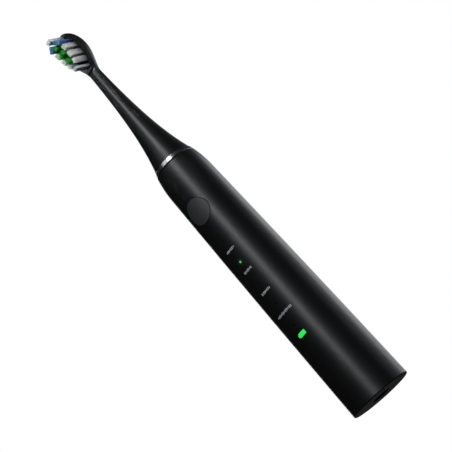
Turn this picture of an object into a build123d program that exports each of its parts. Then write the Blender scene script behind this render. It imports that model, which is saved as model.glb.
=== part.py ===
from build123d import *
import math
import os

# A slim sonic toothbrush: a tapered handle and a pull-off brush head.
# +Z runs from the base face to the brush tip, and -Y is the front, where the
# button, the lights and the bristles are. The origin is the centre of the base
# face, on which the handle stands. Every size is in millimetres.

# ---- Handle outline ----
HANDLE_LENGTH = 135.3
BASE_R = 14.5
SHOULDER_R = 12.1
TOP_R = 10.86
SHOULDER_HEIGHT = 10.3          # from the start of the shoulder to the top
BODY_BULGE = 0.19               # how far the body line bows out halfway up
BASE_EDGE_R = 0.45
TOP_EDGE_R = 0.25
WALL = 1.6
TOP_WALL = 1.8

# ---- Base cap and charging socket ----
CAP_LIP = 1.05                  # shell rim left showing around the cap
CAP_GAP = 0.15
CAP_FLOOR = 2.0
CAP_CHAMFER = 0.3
CAP_SKIRT_HEIGHT = 6.0
CAP_SKIRT_WALL = 2.3
CAP_SKIRT_GAP = 0.25
SOCKET_R = 4.3
SOCKET_DEPTH = 16.0
SOCKET_WALL = 0.9
SOCKET_CHAMFER = 0.5
SEAL_CORD_R = 0.75
SEAL_SQUEEZE_GAP = 0.02
SNAP_WIDTH = 5.0
SNAP_THICKNESS = 1.3
SNAP_RISE = 5.0
SNAP_ROOT = 1.0                 # arm's foot inside the skirt
SNAP_HOOK = 0.7
SNAP_HOOK_HEIGHT = 1.6
SNAP_GAP = 0.1

# ---- Charging coil ----
BOBBIN_WALL = 0.8
BOBBIN_FIT = 0.1
BOBBIN_HEIGHT = 17.0
BOBBIN_FLANGE = 1.0
COIL_THICKNESS = 2.8
COIL_EDGE = 0.4                 # flange standing proud of the winding
SHIELD_THICKNESS = 1.5

# ---- Circuit board ----
BOARD_FRONT_Y = -7.6
BOARD_THICKNESS = 0.8
BOARD_WIDTH = 13.0
BOARD_ABOVE_BUTTON = 7.5
BOARD_CORNER_R = 1.5
BOARD_END_MARGIN = 1.0
BOARD_SCREW_X = 5.4
BOARD_SCREW_INSET = 3.0
SCREW_R = 0.6
SCREW_LENGTH = 2.4
SCREW_TIP_GAP = 0.2
SCREW_HEAD_R = 1.05
SCREW_HEAD_HEIGHT = 0.6
SCREW_HOLE_GAP = 0.1
CHIP_GAP = 0.3                  # between the light baffle and the chips
# Chips beside the baffle: side, mode light they sit level with, width, length, height.
CHIPS = (
    (-1, 1, 2.6, 6.0, 1.0),
    (1, 1, 2.6, 4.0, 0.9),
    (1, 2, 2.4, 5.0, 1.2),
    (-1, 3, 2.4, 3.0, 0.8),
    (1, 3, 2.0, 3.4, 1.0),
)

# ---- Button and switch ----
BUTTON_DROP = 25.8              # handle top to the button's centre
BUTTON_R = 6.25
BUTTON_GAP = 0.2
BUTTON_TRAVEL = 0.4
BUTTON_EDGE_R = 0.35
BUTTON_DEPTH = 2.0              # from the outer face to the back of the cap
LUG_REACH = 1.1                 # retaining lugs beyond the button's edge
LUG_WIDTH = 6.0
LUG_THICKNESS = 0.6
LUG_GAP = 0.35
BUTTON_SEAL_WIDTH = 0.6
BUTTON_SEAL_DEPTH = 0.8
BUTTON_SEAL_FIT = 0.1
SWITCH_SIDE = 5.2
PLUNGER_LENGTH = 0.21           # from the lugs' back to the switch pin
SWITCH_PIN_R = 1.4
SWITCH_PIN_FIT = 0.1
SWITCH_PIN_RISE = 0.4
SWITCH_FLOOR = 0.3

# ---- Mode lights and battery light ----
MODE_COUNT = 5
MODE_PITCH = 11.94
FIRST_MODE_DROP = 43.4          # handle top to the first light
PIPE_R = 0.5
PIPE_FIT = 0.05
PIPE_RECESS = 0.12
GAUGE_DROP = 4.95               # last mode light to the battery light
GAUGE_WIDTH = 4.0
GAUGE_HEIGHT = 2.0
GAUGE_NUB_WIDTH = 0.5
GAUGE_NUB_HEIGHT = 1.0
GAUGE_CORNER_R = 0.3
GAUGE_FIT = 0.04
LED_WIDTH = 1.6
LED_LENGTH = 0.8
LED_HEIGHT = 0.6
LED_HOLE_R = 1.05
PIPE_TO_LED = 0.2
BAFFLE_WIDTH = 5.6
BAFFLE_GAP = 0.3
BAFFLE_MARGIN = 2.6

# ---- Inner frame ----
FRAME_GAP = 0.25
FRAME_WALL = 1.2
FRAME_TOP_PLATE = 4.0
FRAME_MID_PLATE = 3.0
FRAME_LOW_PLATE = 2.5
FRAME_RIB = 2.0
FRAME_SHAFT_HOLE_R = 3.0
RAIL_X = 4.4
RAIL_DEPTH = 2.1
CRADLE_FIT = 0.1
BATTERY_RIBS = (0.25, 0.75)     # along the cell
MOTOR_RIBS = (0.3, 0.75)        # along the motor

# ---- Battery ----
BATTERY_R = 7.0
BATTERY_LENGTH = 50.0
BATTERY_Y = 1.2
BATTERY_NUB_R = 2.7
BATTERY_NUB_HEIGHT = 0.8
BATTERY_EDGE_R = 0.5
TAB_WIDTH = 2.8
TAB_THICKNESS = 0.3
TAB_BACK = 4.0                  # tab's reach behind the axis

# ---- Motor ----
MOTOR_R = 6.2
MOTOR_LENGTH = 41.3
MOTOR_WALL = 0.5
MOTOR_FIT = 0.05
MOTOR_END = 1.2                 # visible end disc of each motor cap
LOWER_PLUG = 7.8
UPPER_PLUG = 4.0
PAD_THICKNESS = 1.0
BUSH_R = 3.4
BUSH_LENGTH = 3.5
SHAFT_R = 1.9
SHAFT_FIT = 0.04
SHAFT_CLEARANCE = 0.3
SHAFT_LOW = 5.0                 # shaft end above the motor's lower face
SPRING_LENGTH = 6.4
SPRING_WIDTH = 2.6
SPRING_THICKNESS = 0.5
SPRING_SLOT_DEPTH = 2.2
SPRING_SLOT_GAP = 0.25
MAGNET_LOW = 12.0               # above the motor's lower face
MAGNET_LENGTH = 14.0
YOKE_R = 2.5
MAGNET_R = 3.6
MAGNET_ARC = 80.0
MAGNET_COUNT = 4
AIR_GAP = 0.3
STATOR_R = 5.55
POLE_ARC = 100.0
WINDING_ARC = 64.0
STATOR_RING = 2.0

# ---- Shaft seal and the shaft above the handle ----
SEAL_FLANGE_R = 6.5
SEAL_FLANGE = 1.2
SEAL_SLEEVE_R = 4.5
SEAL_SLEEVE_RISE = 1.8
SEAL_EDGE_R = 0.6
SEAL_FIT = 0.05
SHAFT_RISE = 24.7               # shaft above the handle's top
SHAFT_FLAT = 1.4                # axis to the drive flat
SHAFT_FLAT_LENGTH = 14.0
SHAFT_TIP_CHAMFER = 0.5

# ---- Leads ----
LEAD_R = 0.4
LEAD_HOLE_GAP = 0.1
COIL_LEAD_X = 2.9
MOTOR_LEAD_X = 2.3
LEAD_BOARD_LAP = 4.0
LEAD_TO_BOARD = 0.02

# ---- Brush head: ring and neck ----
HEAD_GAP = 0.45                 # running gap between handle and ring
RING_HEIGHT = 2.05
RING_LOW_R = 10.8
RING_TOP_R = 10.2
RING_BORE_R = 9.0
RING_EDGE_R = 0.12
RING_SEAT_GAP = 0.1
SKIRT_R = 9.98
SKIRT_EDGE_R = 0.2
NECK_R = 3.12                   # where the neck is NECK_LENGTH above the skirt
NECK_LENGTH = 52.2
NECK_DECAY = 1.95               # how quickly the skirt thins to the neck
NECK_SPANS = 9
HEAD_BORE_R = 8.0
HEAD_BORE_HEIGHT = 3.2
HEAD_CONE_SLOPE = 2.0           # rise of the cone over its loss of radius

# ---- Brush head: plate ----
PLATE_Z = 72.65                 # skirt to the widest part of the plate
PLATE_HALF_WIDTH = 6.4
PLATE_HALF_DEPTH = 3.8
PLATE_FRONT_Y = -1.3
PLATE_MID_Y = 0.5               # middle of the widest section
PLATE_LEAN = 2.0                # tilt of the plate's body, less than its face's
PLATE_TILT = 5.0                # tilt of the flat face, in degrees
PLATE_SQUARENESS = 2.8          # section exponent: 2 is an ellipse
TIP_LENGTH = 11.5
TIP_POINT = 1.08                # 1 closes the tip as an ellipse, more is sharper
TIP_THINNING = 0.6              # how the plate's thickness closes towards the tip
TIP_ANGLES = (18.0, 34.0, 48.0, 60.0, 70.0, 78.0, 84.0, 88.0)
FLARE_START = 5.6               # above NECK_LENGTH, where the plate starts to widen
FLARE_FULLNESS = 0.8            # below 1 the plate widens sooner above the neck
FLARE_SECTIONS = 5
HEEL_A = -11.4                  # heel of the flat face from the widest part
HEEL_RAMP = 3.0
SECTION_POINTS = 24

# ---- Insert and clip inside the head ----
INSERT_R = 4.0
INSERT_FIT = 0.05
INSERT_LOW = 1.2                # above the skirt
INSERT_TOP_WALL = 1.5
INSERT_FLANGE_R = 6.6
INSERT_FLANGE = 1.2
INSERT_SHAFT_END_GAP = 0.4
INSERT_SHAFT_FIT = 0.05
CLIP_LENGTH = 8.0
CLIP_WIDTH = 1.6
CLIP_THICKNESS = 0.3
CLIP_GAP = 0.05
CLIP_RISE = 10.0

# ---- Bristles ----
TUFT_CORNER_R = 0.2
TUFT_HOLE_DEPTH = 2.4
TUFT_FIT = 0.04
ANCHOR_THICKNESS = 0.3
ANCHOR_LENGTH = 1.2
# Each tuft: across and along the plate's face, width, length, turn about the
# tuft's own axis, and the bristles' height over the face.
SIDE_TUFTS = (
    (3.05, 1.95, 2.0, 2.9, 2.0, 8.6),
    (2.75, -2.15, 2.0, 3.0, -6.0, 8.6),
    (2.1, -5.95, 1.9, 2.6, -26.0, 8.6),
)
SHOULDER_TUFTS = ((2.3, 5.75, 2.0, 3.6, 42.0, 9.9),)
TOE_TUFT = (0.0, 8.75, 3.0, 1.8, 0.0, 10.4)
HEEL_TUFT = (0.0, -9.3, 2.7, 1.5, 0.0, 9.8)
CENTRE_TUFTS = (
    (0.0, 4.6, 1.9, 2.4, 0.0, 9.8),
    (0.0, -3.9, 2.0, 2.5, 0.0, 9.8),
)
CENTRE_PAIR = ((1.1, 0.45, 1.5, 2.5, 0.0, 9.8),)

# ---- Places worked out from the sizes above ----
SHOULDER_Z = HANDLE_LENGTH - SHOULDER_HEIGHT
CEILING_Z = HANDLE_LENGTH - TOP_WALL
FRAME_TOP_Z = CEILING_Z - SEAL_FLANGE
MOTOR_TOP_Z = FRAME_TOP_Z - FRAME_TOP_PLATE - PAD_THICKNESS
MOTOR_LOW_Z = MOTOR_TOP_Z - MOTOR_LENGTH
MID_PLATE_TOP_Z = MOTOR_LOW_Z - PAD_THICKNESS
MID_PLATE_LOW_Z = MID_PLATE_TOP_Z - FRAME_MID_PLATE
BATTERY_TOP_Z = MID_PLATE_LOW_Z - TAB_THICKNESS
BATTERY_LOW_Z = BATTERY_TOP_Z - BATTERY_LENGTH
LOW_PLATE_TOP_Z = BATTERY_LOW_Z - TAB_THICKNESS
LOW_PLATE_LOW_Z = LOW_PLATE_TOP_Z - FRAME_LOW_PLATE
SKIRT_TOP_Z = CAP_FLOOR + CAP_SKIRT_HEIGHT
BUTTON_Z = HANDLE_LENGTH - BUTTON_DROP
BOARD_TOP_Z = BUTTON_Z + BOARD_ABOVE_BUTTON
BOARD_BACK_Y = BOARD_FRONT_Y + BOARD_THICKNESS
LED_FRONT_Y = BOARD_FRONT_Y - LED_HEIGHT
FIRST_MODE_Z = HANDLE_LENGTH - FIRST_MODE_DROP
MODE_HEIGHTS = [FIRST_MODE_Z - MODE_PITCH * i for i in range(MODE_COUNT)]
GAUGE_Z = MODE_HEIGHTS[-1] - GAUGE_DROP
BOARD_LOW_Z = min(LOW_PLATE_LOW_Z, GAUGE_Z - BAFFLE_MARGIN) - BOARD_END_MARGIN
LIGHT_HEIGHTS = MODE_HEIGHTS + [GAUGE_Z]
RING_LOW_Z = HANDLE_LENGTH + HEAD_GAP
RING_TOP_Z = RING_LOW_Z + RING_HEIGHT
SKIRT_Z = RING_TOP_Z + RING_SEAT_GAP / 2
FLARE_Z = SKIRT_Z + NECK_LENGTH + FLARE_START
WIDEST_Z = SKIRT_Z + PLATE_Z
INSERT_LOW_Z = SKIRT_Z + INSERT_LOW
SHAFT_LOW_Z = MOTOR_LOW_Z + SHAFT_LOW
SHAFT_TOP_Z = HANDLE_LENGTH + SHAFT_RISE
INSERT_TOP_Z = SHAFT_TOP_Z + INSERT_SHAFT_END_GAP + INSERT_TOP_WALL
OUT_Y = -BASE_R - 2.0           # just in front of the handle
FAR = 100.0                     # larger than any radius here
JOIN = 0.2                      # overlap that joins two shapes into one
SEAM_TURN = 37.0                # keeps a rod's seam off the planes of symmetry


# ---- Building blocks ----
def rod_z(radius, low, high, x=0.0, y=0.0):
    """Upright rod between two heights."""
    align = (Align.CENTER, Align.CENTER, Align.MIN)
    return Pos(x, y, low) * Cylinder(radius, high - low, align=align)


def tube_z(outer, inner, low, high):
    """Upright tube between two heights."""
    return rod_z(outer, low, high) - rod_z(inner, low - 1, high + 1)


def rod_y(radius, front, back, z, x=0.0):
    """Rod that runs from the front towards the back."""
    align = (Align.CENTER, Align.CENTER, Align.MIN)
    turned = Rot(0, 0, SEAM_TURN) * Cylinder(radius, back - front, align=align)
    return Pos(x, front, z) * Rot(-90, 0, 0) * turned


def block(x_span, y_span, z_span):
    """Box between three pairs of limits."""
    spans = (x_span, y_span, z_span)
    size = [high - low for low, high in spans]
    middle = [(high + low) / 2 for low, high in spans]
    return Pos(*middle) * Box(*size)


def slab(low, high):
    """Wide slice of space between two heights."""
    return block((-FAR, FAR), (-FAR, FAR), (low, high))


def wedge_z(outer, inner, low, high, arc, facing):
    """Part of an upright tube that spans an arc centred on a direction."""
    half = math.radians(arc / 2)
    reach = 2 * outer
    corners = [(0, 0), (reach * math.cos(half), reach * math.sin(half))]
    corners += [(reach * 2, 0), (reach * math.cos(half), -reach * math.sin(half))]
    sector = Pos(0, 0, low) * extrude(make_face(Polyline(*corners, close=True)), high - low)
    return tube_z(outer, inner, low, high) & (Rot(0, 0, facing) * sector)


def both_sides(shape):
    """A shape and its mirror image across the middle plane."""
    return [shape, mirror(shape, Plane.YZ)]


def body_radius(z):
    """Outer radius of the handle below its shoulder."""
    share = z / SHOULDER_Z
    return BASE_R + (SHOULDER_R - BASE_R) * share + 4 * BODY_BULGE * share * (1 - share)


def skin_outline(inset):
    """Half section of the handle, moved in by an inset."""
    start = (BASE_R - inset, 0)
    pull = ((BASE_R + SHOULDER_R) / 2 + 2 * BODY_BULGE - inset, SHOULDER_Z / 2)
    bend = (SHOULDER_R - inset, SHOULDER_Z)
    end = (TOP_R - inset, HANDLE_LENGTH)
    body = Bezier(start, pull, bend)
    shoulder = TangentArc(bend, end, tangent=body % 1)
    rest = Polyline(end, (0, HANDLE_LENGTH), (0, 0), start)
    return make_face(body + shoulder + rest)


def skin(inset):
    """Solid inside the handle outline, moved in by an inset."""
    return revolve(Plane.XZ * skin_outline(inset), Axis.Z)


def rounded_body():
    """The handle's outer solid with its two rims rounded."""
    outline = skin_outline(0)
    rim = outline.vertices().group_by(Axis.Y)[0].sort_by(Axis.X)[-1]
    outline = fillet(rim, BASE_EDGE_R)
    rim = outline.vertices().group_by(Axis.Y)[-1].sort_by(Axis.X)[-1]
    return revolve(Plane.XZ * fillet(rim, TOP_EDGE_R), Axis.Z)


# ---- Handle shell ----
def gauge_outline(grow):
    """Battery shape of the lowest light, as a face in the front plane."""
    body = RectangleRounded(GAUGE_WIDTH + 2 * grow, GAUGE_HEIGHT + 2 * grow, GAUGE_CORNER_R)
    nub_x = -GAUGE_WIDTH / 2 - GAUGE_NUB_WIDTH / 2
    nub = Pos(nub_x, 0) * Rectangle(GAUGE_NUB_WIDTH + 2 * grow, GAUGE_NUB_HEIGHT + 2 * grow)
    return Plane.XZ * Pos(0, GAUGE_Z) * (body + nub)


def gauge_prism(grow, front, back):
    """The battery shape carried from the front towards the back."""
    return Pos(0, back, 0) * extrude(gauge_outline(grow), back - front)


def handle_shell():
    body = rounded_body() - (skin(WALL) & slab(-1, CEILING_Z))
    body -= rod_z(BASE_R - CAP_LIP, -1, CAP_FLOOR)
    body -= rod_z(SEAL_SLEEVE_R + SEAL_FIT, CEILING_Z - 1, HANDLE_LENGTH + 1)
    body -= rod_y(BUTTON_R + BUTTON_GAP, OUT_Y, BOARD_FRONT_Y, BUTTON_Z)
    seal_room_r = BUTTON_R + BUTTON_SEAL_FIT + BUTTON_SEAL_WIDTH
    seal_room = rod_y(seal_room_r, OUT_Y, BOARD_FRONT_Y, BUTTON_Z)
    body -= seal_room & skin(WALL - BUTTON_SEAL_DEPTH)
    for z in MODE_HEIGHTS:
        body -= rod_y(PIPE_R + PIPE_FIT, OUT_Y, BOARD_FRONT_Y, z)
    return body - gauge_prism(GAUGE_FIT, OUT_Y, BOARD_FRONT_Y)


# ---- Base cap, socket and coil ----
def snap_arm(grow):
    """Springy arm on the cap's skirt whose hook holds the inner frame."""
    outer = body_radius(SKIRT_TOP_Z) - WALL - FRAME_GAP - FRAME_WALL - SNAP_GAP
    low = SKIRT_TOP_Z - SNAP_ROOT
    high = SKIRT_TOP_Z + SNAP_RISE
    half = SNAP_WIDTH / 2 + grow
    arm = block((outer - SNAP_THICKNESS, outer), (-half, half), (low, high))
    hook_low = high - SNAP_HOOK_HEIGHT - grow
    return arm + block((outer - JOIN, outer + SNAP_HOOK), (-half, half), (hook_low, high + grow))


def base_cap():
    cap_r = BASE_R - CAP_LIP - CAP_GAP
    skirt_r = body_radius(SKIRT_TOP_Z) - WALL - CAP_SKIRT_GAP
    cap = chamfer(rod_z(cap_r, 0, CAP_FLOOR).edges().group_by(Axis.Z)[0], CAP_CHAMFER)
    cap += tube_z(skirt_r, skirt_r - CAP_SKIRT_WALL, CAP_FLOOR, SKIRT_TOP_Z)
    cap += rod_z(SOCKET_R + SOCKET_WALL, CAP_FLOOR, SOCKET_DEPTH + SOCKET_WALL)
    socket = rod_z(SOCKET_R, -1, SOCKET_DEPTH)
    mouth = Cone(SOCKET_R + SOCKET_CHAMFER, SOCKET_R, SOCKET_CHAMFER)
    cap -= socket + Pos(0, 0, SOCKET_CHAMFER / 2) * mouth
    for arm in both_sides(snap_arm(0)):
        cap += arm
    groove = SEAL_CORD_R + SEAL_SQUEEZE_GAP
    z = base_seal_z()
    return cap - tube_z(FAR, base_seal_r() - groove, z - groove, z + groove)


def base_seal_z():
    """Height of the seal, halfway up the cap's skirt."""
    return CAP_FLOOR + CAP_SKIRT_HEIGHT / 2


def base_seal_r():
    """Radius of the seal's centre line, just inside the shell wall."""
    return body_radius(base_seal_z() + SEAL_CORD_R) - WALL - SEAL_SQUEEZE_GAP - SEAL_CORD_R


def base_seal():
    return Pos(0, 0, base_seal_z()) * Torus(base_seal_r(), SEAL_CORD_R)


def bobbin_bore_r():
    """Bore of the bobbin, which drops over the socket."""
    return SOCKET_R + SOCKET_WALL + BOBBIN_FIT


def coil_outer_r():
    """Outer radius of the winding."""
    return bobbin_bore_r() + BOBBIN_WALL + COIL_THICKNESS


def coil_bobbin():
    top = CAP_FLOOR + BOBBIN_HEIGHT
    flange_r = coil_outer_r() + COIL_EDGE
    bobbin = rod_z(bobbin_bore_r() + BOBBIN_WALL, CAP_FLOOR, top)
    bobbin += rod_z(flange_r, CAP_FLOOR, CAP_FLOOR + BOBBIN_FLANGE)
    bobbin += rod_z(flange_r, top - BOBBIN_FLANGE, top)
    return bobbin - rod_z(bobbin_bore_r(), 0, top + 1)


def charge_coil():
    low = CAP_FLOOR + BOBBIN_FLANGE
    high = CAP_FLOOR + BOBBIN_HEIGHT - BOBBIN_FLANGE
    return tube_z(coil_outer_r(), bobbin_bore_r() + BOBBIN_WALL, low, high)


def coil_shield():
    low = CAP_FLOOR + BOBBIN_HEIGHT
    shield = rod_z(coil_outer_r() + COIL_EDGE, low, low + SHIELD_THICKNESS)
    for lead in lead_pair(COIL_LEAD_X, low - 1, low + SHIELD_THICKNESS + 1, LEAD_HOLE_GAP):
        shield -= lead
    return shield


# ---- Leads ----
def lead_pair(x, low, high, grow=0.0):
    """Two straight insulated wires that lie along the back of the board."""
    y = BOARD_BACK_Y + LEAD_R + LEAD_TO_BOARD
    return both_sides(rod_z(LEAD_R + grow, low, high, x, y))


def coil_leads():
    low = CAP_FLOOR + BOBBIN_HEIGHT
    return lead_pair(COIL_LEAD_X, low, LOW_PLATE_TOP_Z + LEAD_BOARD_LAP)


def motor_leads():
    low = MID_PLATE_LOW_Z - LEAD_BOARD_LAP
    return lead_pair(MOTOR_LEAD_X, low, MOTOR_LOW_Z + MOTOR_END)


# ---- Inner frame ----
def frame_plate(low, high, envelope):
    """Cross plate of the frame, with a flat for the board."""
    plate = envelope & slab(low, high)
    return plate - block((-FAR, FAR), (-FAR, BOARD_BACK_Y), (low - 1, high + 1))


def cradle_rib(z, radius, y, envelope):
    """Rib that holds a round piece from behind."""
    rib = envelope & block((-FAR, FAR), (y, FAR), (z - FRAME_RIB / 2, z + FRAME_RIB / 2))
    return rib - rod_z(radius + CRADLE_FIT, z - FRAME_RIB, z + FRAME_RIB, 0, y)


def board_screw_places():
    """Places of the four board screws, across and up."""
    heights = (LOW_PLATE_LOW_Z + BOARD_SCREW_INSET, BOARD_TOP_Z - BOARD_SCREW_INSET)
    return [(x, z) for z in heights for x in (-BOARD_SCREW_X, BOARD_SCREW_X)]


def inner_frame():
    envelope = skin(WALL + FRAME_GAP) & slab(SKIRT_TOP_Z, FRAME_TOP_Z)
    hollow = skin(WALL + FRAME_GAP + FRAME_WALL)
    window = block((-FAR, FAR), (-FAR, BOARD_BACK_Y), (BOARD_LOW_Z - 1, BOARD_TOP_Z + 1))
    frame = envelope - hollow - window
    rails = block((RAIL_X, FAR), (BOARD_BACK_Y, BOARD_BACK_Y + RAIL_DEPTH), (BOARD_LOW_Z, BOARD_TOP_Z))
    for rail in both_sides(rails & envelope):
        frame += rail
    frame += frame_plate(LOW_PLATE_LOW_Z, LOW_PLATE_TOP_Z, envelope)
    frame += frame_plate(MID_PLATE_LOW_Z, MID_PLATE_TOP_Z, envelope)
    frame += envelope & slab(FRAME_TOP_Z - FRAME_TOP_PLATE, FRAME_TOP_Z)
    for share in BATTERY_RIBS:
        z = BATTERY_LOW_Z + BATTERY_LENGTH * share
        frame += cradle_rib(z, BATTERY_R, BATTERY_Y, envelope)
    for share in MOTOR_RIBS:
        frame += cradle_rib(MOTOR_LOW_Z + MOTOR_LENGTH * share, MOTOR_R, 0, envelope)
    frame -= rod_z(FRAME_SHAFT_HOLE_R, FRAME_TOP_Z - FRAME_TOP_PLATE - 1, FRAME_TOP_Z + 1)
    for lead in lead_pair(COIL_LEAD_X, LOW_PLATE_LOW_Z - 1, LOW_PLATE_TOP_Z + 1, LEAD_HOLE_GAP):
        frame -= lead
    for lead in lead_pair(MOTOR_LEAD_X, MID_PLATE_LOW_Z - 1, MID_PLATE_TOP_Z + 1, LEAD_HOLE_GAP):
        frame -= lead
    for x, z in board_screw_places():
        frame -= rod_y(SCREW_R, BOARD_BACK_Y - 1, BOARD_FRONT_Y + SCREW_LENGTH + SCREW_TIP_GAP, z, x)
    for arm in both_sides(snap_arm(SNAP_GAP)):
        frame -= arm
    return frame


# ---- Battery ----
def battery_cell():
    top = BATTERY_TOP_Z - BATTERY_NUB_HEIGHT
    can = rod_z(BATTERY_R, BATTERY_LOW_Z, top, 0, BATTERY_Y)
    can = fillet(can.edges().filter_by(GeomType.CIRCLE), BATTERY_EDGE_R)
    return can + rod_z(BATTERY_NUB_R, top - JOIN, BATTERY_TOP_Z, 0, BATTERY_Y)


def battery_tab(low):
    """Nickel strip from one end of the cell to the back of the board."""
    half = TAB_WIDTH / 2
    return block((-half, half), (BOARD_BACK_Y, TAB_BACK), (low, low + TAB_THICKNESS))


# ---- Circuit board and what is soldered to it ----
def circuit_board():
    height = BOARD_TOP_Z - BOARD_LOW_Z
    outline = Pos(0, (BOARD_TOP_Z + BOARD_LOW_Z) / 2) * RectangleRounded(BOARD_WIDTH, height, BOARD_CORNER_R)
    board = Pos(0, BOARD_BACK_Y, 0) * extrude(Plane.XZ * outline, BOARD_THICKNESS)
    for x, z in board_screw_places():
        board -= rod_y(SCREW_R + SCREW_HOLE_GAP, BOARD_FRONT_Y - 1, BOARD_BACK_Y + 1, z, x)
    return board


def board_screws():
    screws = []
    for x, z in board_screw_places():
        head = rod_y(SCREW_HEAD_R, BOARD_FRONT_Y - SCREW_HEAD_HEIGHT, BOARD_FRONT_Y, z, x)
        shank = rod_y(SCREW_R, BOARD_FRONT_Y, BOARD_FRONT_Y + SCREW_LENGTH, z, x)
        screws.append(head + shank)
    return screws


def board_chips():
    """Controller, charger and small parts on the front of the board."""
    chips = []
    for side, level, width, length, height in CHIPS:
        x = side * (BAFFLE_WIDTH / 2 + CHIP_GAP + width / 2)
        z = MODE_HEIGHTS[level]
        x_span = (x - width / 2, x + width / 2)
        chips.append(block(x_span, (BOARD_FRONT_Y - height, BOARD_FRONT_Y), (z - length / 2, z + length / 2)))
    return chips


def indicator_leds():
    half = LED_WIDTH / 2
    tall = LED_LENGTH / 2
    return [block((-half, half), (LED_FRONT_Y, BOARD_FRONT_Y), (z - tall, z + tall)) for z in LIGHT_HEIGHTS]


def light_baffle():
    low = GAUGE_Z - BAFFLE_MARGIN
    high = FIRST_MODE_Z + BAFFLE_MARGIN
    half = BAFFLE_WIDTH / 2
    strip = skin(WALL + BAFFLE_GAP) & block((-half, half), (-FAR, BOARD_FRONT_Y), (low, high))
    for z in MODE_HEIGHTS:
        strip -= rod_y(LED_HOLE_R, LED_FRONT_Y - PIPE_TO_LED, BOARD_FRONT_Y + 1, z)
        strip -= rod_y(PIPE_R + PIPE_FIT, OUT_Y, BOARD_FRONT_Y, z)
    return strip - gauge_prism(PIPE_FIT, OUT_Y, BOARD_FRONT_Y)


def light_pipes():
    pipes = []
    for z in MODE_HEIGHTS:
        pipe = rod_y(PIPE_R, OUT_Y, LED_FRONT_Y - PIPE_TO_LED, z)
        pipes.append(pipe & skin(PIPE_RECESS))
    return pipes


def battery_window(outside):
    return gauge_prism(0, OUT_Y, LED_FRONT_Y - PIPE_TO_LED) & outside


# ---- Button and switch ----
def button_faces():
    """Front of the lugs, back of the lugs and front of the switch pin."""
    wall_back = body_radius(BUTTON_Z) - WALL
    lug_front = LUG_GAP - math.sqrt(wall_back**2 - (LUG_WIDTH / 2) ** 2)
    lug_back = lug_front + LUG_THICKNESS
    return lug_front, lug_back, lug_back + PLUNGER_LENGTH


def power_button(outside):
    lug_front, lug_back, pin_front = button_faces()
    cap = rod_y(BUTTON_R, OUT_Y, lug_back, BUTTON_Z) & outside
    cap = fillet(cap.edges().sort_by(Axis.Y)[0], BUTTON_EDGE_R)
    hollow = rod_y(BUTTON_R - BUTTON_DEPTH / 2, lug_front, lug_back, BUTTON_Z)
    cap -= hollow
    reach = BUTTON_R + LUG_REACH
    half = LUG_WIDTH / 2
    lugs = block((-half, half), (lug_front, lug_back), (BUTTON_Z - reach, BUTTON_Z + reach))
    return cap + lugs + rod_y(SWITCH_PIN_R, lug_back - JOIN, pin_front, BUTTON_Z)


def button_seal():
    bore = BUTTON_R + BUTTON_SEAL_FIT
    ring = rod_y(bore + BUTTON_SEAL_WIDTH, OUT_Y, BOARD_FRONT_Y, BUTTON_Z)
    ring -= rod_y(bore, OUT_Y, BOARD_FRONT_Y, BUTTON_Z)
    return ring & (skin(WALL - BUTTON_SEAL_DEPTH) - skin(WALL))


def switch_case():
    half = SWITCH_SIDE / 2
    front = button_faces()[2] + SWITCH_PIN_RISE
    case = block((-half, half), (front, BOARD_FRONT_Y), (BUTTON_Z - half, BUTTON_Z + half))
    return case - rod_y(SWITCH_PIN_R + SWITCH_PIN_FIT, front - 1, BOARD_FRONT_Y - SWITCH_FLOOR, BUTTON_Z)


def switch_pin():
    front = button_faces()[2]
    back = BOARD_FRONT_Y - SWITCH_FLOOR - BUTTON_TRAVEL - SWITCH_PIN_FIT
    return rod_y(SWITCH_PIN_R, front, back, BUTTON_Z)


# ---- Motor ----
def motor_bore_r():
    """Inner radius of the motor case."""
    return MOTOR_R - MOTOR_WALL


def motor_case():
    return tube_z(MOTOR_R, motor_bore_r(), MOTOR_LOW_Z + MOTOR_END, MOTOR_TOP_Z - MOTOR_END)


def lower_bush_z():
    """Foot of the lower bush, at the top of the lower cap."""
    return MOTOR_LOW_Z + MOTOR_END + LOWER_PLUG - BUSH_LENGTH


def motor_lower_cap():
    plug_top = MOTOR_LOW_Z + MOTOR_END + LOWER_PLUG
    cap = rod_z(MOTOR_R, MOTOR_LOW_Z, MOTOR_LOW_Z + MOTOR_END)
    cap += rod_z(motor_bore_r() - MOTOR_FIT, MOTOR_LOW_Z, plug_top)
    cap -= rod_z(BUSH_R, lower_bush_z(), plug_top + 1)
    cap -= rod_z(SHAFT_R + SHAFT_CLEARANCE, SHAFT_LOW_Z - SHAFT_CLEARANCE, plug_top)
    return cap - spring_leaf(MOTOR_FIT)


def motor_upper_cap():
    plug_low = MOTOR_TOP_Z - MOTOR_END - UPPER_PLUG
    cap = rod_z(MOTOR_R, MOTOR_TOP_Z - MOTOR_END, MOTOR_TOP_Z)
    cap += rod_z(motor_bore_r() - MOTOR_FIT, plug_low, MOTOR_TOP_Z)
    cap -= rod_z(BUSH_R, plug_low - 1, plug_low + BUSH_LENGTH)
    return cap - rod_z(SHAFT_R + SHAFT_CLEARANCE, plug_low, MOTOR_TOP_Z + 1)


def bush(low):
    """Sintered bush that the shaft turns in."""
    return tube_z(BUSH_R, SHAFT_R + SHAFT_FIT, low, low + BUSH_LENGTH)


def spring_leaf(grow):
    """Flat bar that twists and brings the shaft back to its middle."""
    low = MOTOR_LOW_Z + MOTOR_END / 2 - grow
    half_width = SPRING_WIDTH / 2 + grow
    half = SPRING_THICKNESS / 2 + grow
    return block((-half_width, half_width), (-half, half), (low, low + SPRING_LENGTH + grow))


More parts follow.
